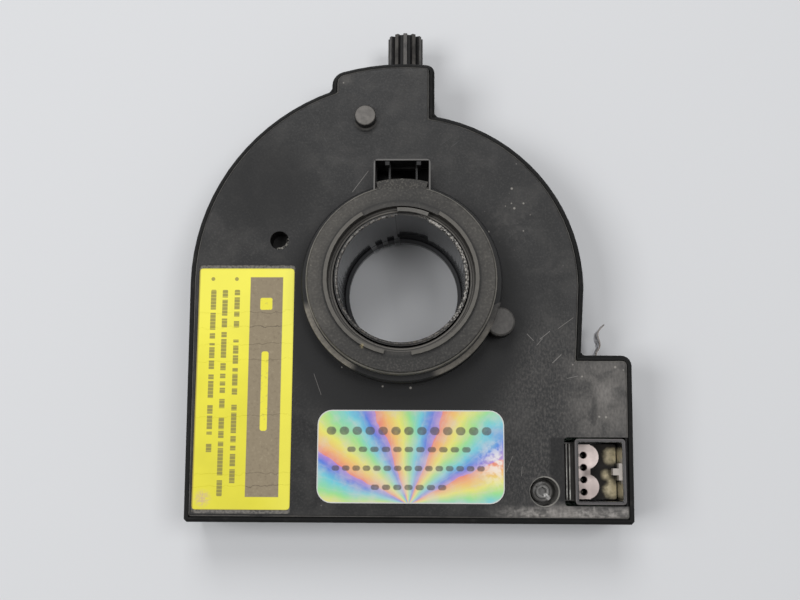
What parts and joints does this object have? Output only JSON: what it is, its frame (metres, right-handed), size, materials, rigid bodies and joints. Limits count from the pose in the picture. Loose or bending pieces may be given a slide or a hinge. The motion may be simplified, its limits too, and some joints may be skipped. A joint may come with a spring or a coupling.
{
  "type": "steering angle sensor",
  "caption": "Flat black steering angle sensor with a round hub, a free turning rotor with a slotted disc, a four pin socket, a ribbed peg and two blank labels.",
  "frame": {"origin": "middle of the part's box, on the surface that it lies on", "axes": "+Z along the bore axis out of the hub, +Y towards the ribbed peg, +X towards the connector's side"},
  "size_m": [0.0948, 0.1098, 0.0282],
  "materials": {
    "case_plastic": "fine grained black with dust and scuffs",
    "hub_plastic": "matte dark grey, dusty",
    "rotor_plastic": "glossy black",
    "insert_plastic": "light pinkish grey",
    "chip_plastic": "moulded black",
    "board_laminate": "green varnish",
    "spring_steel": "bright",
    "screw_steel": "zinc plated",
    "tin_plate": "bright tinned",
    "can_aluminium": "bright",
    "yellow_paper": "satin printed film",
    "silver_foil": "rainbow foil"
  },
  "bodies": {
    "housing": {"rear_case": "case_plastic", "front_cover": "case_plastic", "hub_ring": "hub_plastic", "thrust_washer": "spring_steel", "circuit_board": "board_laminate", "light_barrier_1": "chip_plastic", "light_barrier_2": "chip_plastic", "light_barrier_3": "chip_plastic", "controller_chip": "chip_plastic", "amplifier_chip": "chip_plastic", "voltage_regulator": "chip_plastic", "resonator": "insert_plastic", "electrolytic_capacitor": "can_aluminium", "connector_shell": "case_plastic", "terminal_block": "insert_plastic", "terminal_pin_1": "tin_plate", "terminal_pin_2": "tin_plate", "terminal_pin_3": "tin_plate", "terminal_pin_4": "tin_plate", "board_screw_1": "screw_steel", "board_screw_2": "screw_steel", "board_screw_3": "screw_steel", "cover_screw": "screw_steel", "ribbed_peg": "case_plastic", "earth_spring": "spring_steel", "yellow_label": "yellow_paper", "foil_label": "silver_foil"},
    "rotor_group": {"rotor": "rotor_plastic", "encoder_disc": "chip_plastic", "disc_retainer": "case_plastic"}
  },
  "joints": [
    {"name": "rotor_turn", "type": "hinge", "parent": "housing", "child": "rotor_group", "pos_m": [-0.0014, -0.00485, 0], "axis": [0, 0, 1], "continuous": true}
  ]
}
